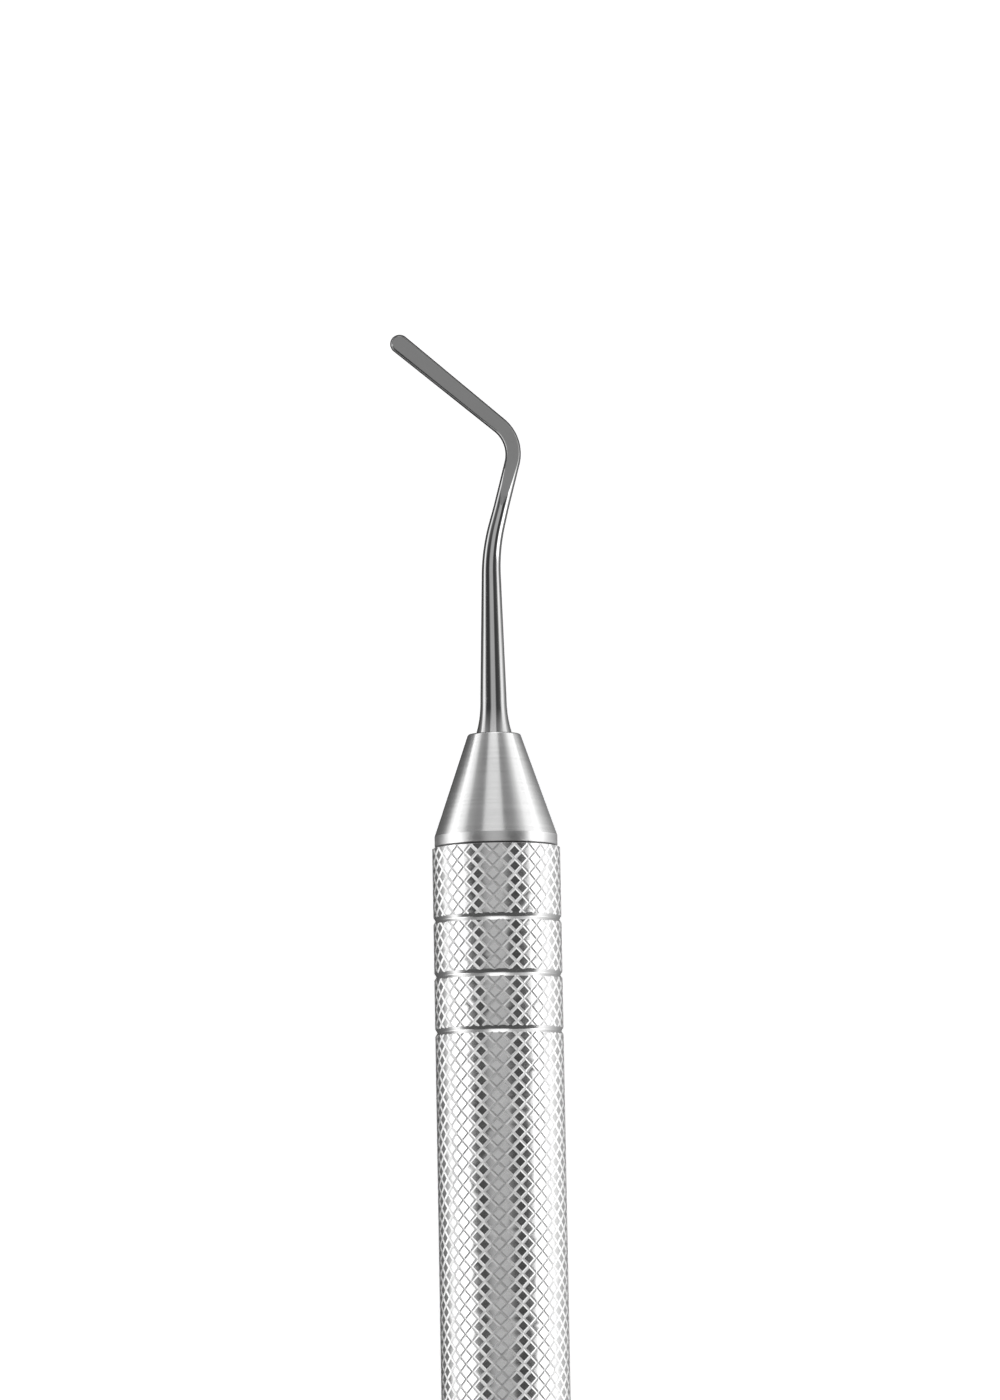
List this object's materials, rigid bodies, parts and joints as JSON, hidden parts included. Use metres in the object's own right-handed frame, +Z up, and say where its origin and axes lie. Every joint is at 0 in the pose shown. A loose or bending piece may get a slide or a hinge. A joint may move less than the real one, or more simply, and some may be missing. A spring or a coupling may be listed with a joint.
{
  "type": "dental elevator",
  "caption": "Double-ended dental hand instrument with a hollow knurled steel handle, tapered nose cones and slim bent shanks that end in narrow flat round-tipped blades.",
  "frame": {"origin": "middle of the handle on its axis, which is also the centre of the whole instrument", "axes": "+X along the handle towards working end A; +Z up, square to the blades' flats, with both bent ends in the XY plane; working end A bends towards +Y and end B towards -Y"},
  "size_m": [0.1774, 0.0154, 0.01],
  "materials": {
    "knurled_steel": "satin",
    "turned_steel": "satin",
    "polished_steel": "polished",
    "seal_rubber": "matte"
  },
  "bodies": {
    "root": {"handle_tube": "knurled_steel", "end_bush_a": "turned_steel", "end_bush_b": "turned_steel", "nose_cone_a": "turned_steel", "nose_cone_b": "turned_steel", "seal_ring_a": "seal_rubber", "seal_ring_b": "seal_rubber", "working_end_a": "polished_steel", "working_end_b": "polished_steel"}
  },
  "joints": []
}
